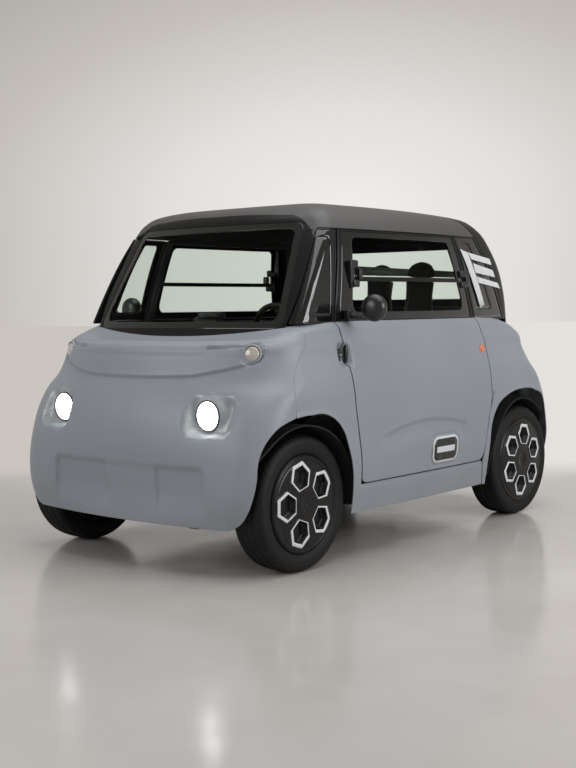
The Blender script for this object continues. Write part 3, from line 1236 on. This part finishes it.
# Window catch and hinge clips: place (y, z) and half sizes of each block.
CATCHES = (((-452.0, 1190.0), (13.0, 24.0, 17.0)), ((-470.0, 1150.0), (10.0, 11.0, 58.0)),
           ((-452.0, 1112.0), (12.0, 20.0, 15.0)), ((-424.0, 1150.0), (14.0, 12.0, 24.0)),
           ((372.0, 1160.0), (10.0, 34.0, 16.0)), ((366.0, 1112.0), (10.0, 30.0, 14.0)),
           ((396.0, 1136.0), (9.0, 14.0, 34.0)))
latch_base = on_lower(np.array([-616.0, 828.0])) + np.array([-20.0, 0.0, 0.0])
bolt_head = lathe([(-4, 5), (5, 5), (7, 3.5), (7.5, 0.4)], 24, latch_base + np.array([9.0, 8.0, 0.0]),
                  (1, 0.3, 0))
hollow_lip = block(on_lower(np.array([-568.0, 828.0])) + np.array([-17.0, 0, 0]), (9.0, 9.0, 40.0), 0.8)
for side, flip in (("left", 1.0), ("right", turn)):
    body = side + "_door"
    for name, mat, sizes in plates:
        shell(side + name, [on_plate(*sizes) * MM * flip], mat, 0.0012, body, "black_plastic", edge=0)
    catch = grid_mesh(side + "_catch", [block(latch_base, (10.0, 15.0, 26.0)) * MM * flip], plate_black, WELD)
    fit(catch, "body", "black_plastic")
    shell(side + "_catch_bolt", [bolt_head * MM * flip], lamp_silver, 0.001, "body", "chassis_steel",
          edge=0, weld=WELD)
    lip = grid_mesh(side + "_hollow_shadow_lip", [hollow_lip * MM * flip], plate_black, WELD)
    fit(lip, body, "black_plastic")
    trims = [block(on_cabin(np.array(spot)) + np.array([4.0, 0, 0]), half, 0.4) * MM * flip
             for spot, half in CATCHES]
    fit(grid_mesh(side + "_window_catches", trims, plate_black, WELD), body, "black_plastic")

stripes = [sticker(c) for c in (
    ((385, 1275), (452, 1261), (561, 1019), (516, 1005)),
    ((455, 1261), (679, 1237), (688, 1207), (478, 1229)),
    ((486, 1212), (692, 1183), (708, 1149), (500, 1167)),
    ((506, 1150), (735, 1122), (756, 1096), (520, 1121)))]
shell("quarter_stripes", stripes, print_white, 0.0006, "body", "black_plastic", edge=0)


# --- mirrors -----------------------------------------------------------------------------------------
# A round glossy black shell with a flat glass behind, clamped on a short arm at the foot of each door
# window; both glasses face the rear.

gloss_black = moulding("gloss_black", (12, 12, 12), (18, 18, 18), 0.34, 60.0, 0.02,
                       Coat_Weight=0.2, Coat_Roughness=0.2)
mirror_silver = moulding("mirror_silver", (196, 198, 200), (206, 208, 210), 0.04, 20.0, 0.01,
                         Metallic=1.0)
shell_profile = [(-22, 44), (-20, 51), (-10, 54), (4, 54), (15, 49), (24, 38), (30, 22), (32, 0.4)]
glass_profile = [(0.0, 46), (1.2, 44), (2.0, 24), (2.2, 0.4)]
for side, flip, y in (("left", 1, -518.0), ("right", -1, -400.0)):
    body = side + "_door"
    centre = np.array([755.0, y - 3.0, 1013.0])
    mirrored = lambda grid: grid[:, ::flip] * MM * np.array([flip, 1.0, 1.0])
    head = lathe(smooth_line(shell_profile, 22), 48, centre, (0, -1, 0))
    shell(side + "_mirror_shell", [mirrored(head)], gloss_black, 0.002, body, "black_plastic",
          side + "_mirror", edge=0, weld=WELD)
    glass = lathe(glass_profile, 60, centre + np.array([0, 19.0, 0]), (0, 1, 0))
    shell(side + "_mirror_glass", [mirrored(glass)], mirror_silver, 0.001, body, "glass", edge=0, weld=WELD)
    arms = [mirrored(block((675.0, y - 6.0, 976.0), (58.0, 10.0, 8.0), 0.6)),
            mirrored(block((636.0, y - 6.0, 985.0), (16.0, 20.0, 22.0), 0.5))]
    fit(grid_mesh(side + "_mirror_arm", arms, plate_black, WELD), body, "black_plastic")


# --- seats and cabin ---------------------------------------------------------------------------------
# Two thin foam pads on moulded shells with narrow headrests, staggered; a plain shelf under the
# screen with an instrument pod, a three-spoke wheel, and a rail behind the seats.

def seat_back(x, y):
    """Back pad: level rounded sections whose half width and depth change with height."""
    z = np.concatenate([[446.0], np.linspace(450.0, 1238.0, 66), [1243.0]])
    half = np.interp(z, [446, 470, 760, 930, 1000, 1060, 1150, 1195, 1225, 1238, 1243],
                     [175, 196, 190, 122, 92, 84, 84, 76, 54, 30, 6])
    deep = np.interp(z, [446, 470, 800, 1000, 1200, 1230, 1243], [24, 40, 38, 26, 30, 22, 4])
    lean = 0.12 * (z - 450.0)
    angle = np.linspace(0, 2 * pi, 65)
    soft = lambda w: np.sign(w) * np.abs(w) ** 0.62
    px = x + half[:, None] * soft(np.cos(angle))
    py = y + lean[:, None] - 50.0 + deep[:, None] * soft(np.sin(angle))
    channel = 5.0 * np.exp(-((np.abs(px - x) - 96.0) / 7.0) ** 2) * (z[:, None] < 820.0) * (np.sin(angle) < 0)
    return np.stack([px, py + channel, np.broadcast_to(z[:, None], px.shape)], -1)


def seat_cushion(x, y):
    """Seat pad: a crowned closed form, its sides drawn in between the corners."""
    pad = block((x, y - 240.0, 412.0), (196.0, 206.0, 44.0), 0.5, 30)
    crown = 1 - ((pad[..., 0] - x) / 196.0) ** 2
    pad[..., 2] += 12.0 * crown * (pad[..., 2] > 412.0)
    return pad


def stuffed(pad, pressure=4.0):
    """Blows the pad up as cloth under a little pressure, then keeps a capped share of the movement."""
    start = np.array([v.co for v in pad.data.vertices])
    push = pad.modifiers.new("stuffing", "CLOTH")
    push.settings.use_pressure = True
    push.settings.uniform_pressure_force = pressure
    push.settings.effector_weights.gravity = 0.0
    push.settings.quality = 5
    push.point_cache.frame_start, push.point_cache.frame_end = 1, 20
    for number in range(1, 21):
        bpy.context.scene.frame_set(number)
    shaped = pad.evaluated_get(bpy.context.evaluated_depsgraph_get())
    moved = np.array([v.co for v in shaped.data.vertices]) - start
    pad.modifiers.remove(push)
    bpy.context.scene.frame_set(1)
    size = np.linalg.norm(moved, axis=1, keepdims=True)
    moved *= np.minimum(1.0, 0.014 / np.maximum(size, 1e-9))
    pad.data.vertices.foreach_set("co", (start + moved).ravel())
    return pad


seat_cloth = moulding("seat_cloth", (34, 37, 36), (46, 49, 48), 0.85, 1400.0, 0.8,
                    Sheen_Weight=0.3, Sheen_Roughness=0.5)
for side, x, y in (("left", 255.0, 530.0), ("right", -130.0, 740.0)):
    for name, points in (("back_pad", seat_back(x, y)), ("seat_pad", seat_cushion(x, y))):
        pad = grid_mesh(side + "_" + name, [points * MM], seat_cloth, WELD)
        stuffed(pad)
        fit(pad, "body", "seat_trim", *([side + "_seat"] if name == "back_pad" else []))

cabin_plastic = moulding("cabin_plastic", (30, 32, 32), (42, 44, 44), 0.6, 500.0, 0.4)
frame_steel = moulding("frame_steel", (38, 39, 41), (52, 53, 55), 0.5, 200.0, 0.3, Metallic=0.5)
case_grey = moulding("case_grey", (60, 62, 64), (74, 76, 78), 0.5, 240.0, 0.3, Metallic=0.4)
liner_black = moulding("liner_black", (8, 8, 8), (14, 14, 14), 0.8, 300.0, 0.5)
for mat, names in ((cabin_plastic, ("dashboard", "door_jambs", "steering_wheel")),
                   (frame_steel, ("floor_frame", "left_knuckle", "right_knuckle",
                                  "front_suspension_arms", "rear_axle")),
                   (case_grey, ("battery_block", "motor_block")), (liner_black, ("arch_liners",))):
    for name in names:
        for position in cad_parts[name].material_slots:
            position.material = mat

pod = block((20.0, -690.0, 935.0), (70.0, 30.0, 48.0), 0.35, 24)
cap = block((48.0, -700.0, 985.0), (62.0, 34.0, 14.0), 0.5, 20)
fit(grid_mesh("instrument_pod", [pod * MM, cap * MM], cabin_plastic, WELD), "body", "black_plastic")
rail = spun([(-320.0, 16.0), (-316.0, 21.0), (316.0, 21.0), (320.0, 16.0)], 32)
rail = np.stack([rail[..., 0] + 107.0, rail[..., 1] + 655.0, rail[..., 2] + 1180.0 - 0.07 * rail[..., 0]], -1)
rail_grey = moulding("rail_grey", (150, 156, 150), (164, 170, 164), 0.4, 200.0, 0.1)
shell("belt_rail", [rail * MM], rail_grey, 0.002, "body", "chassis_steel", edge=0, weld=WELD)
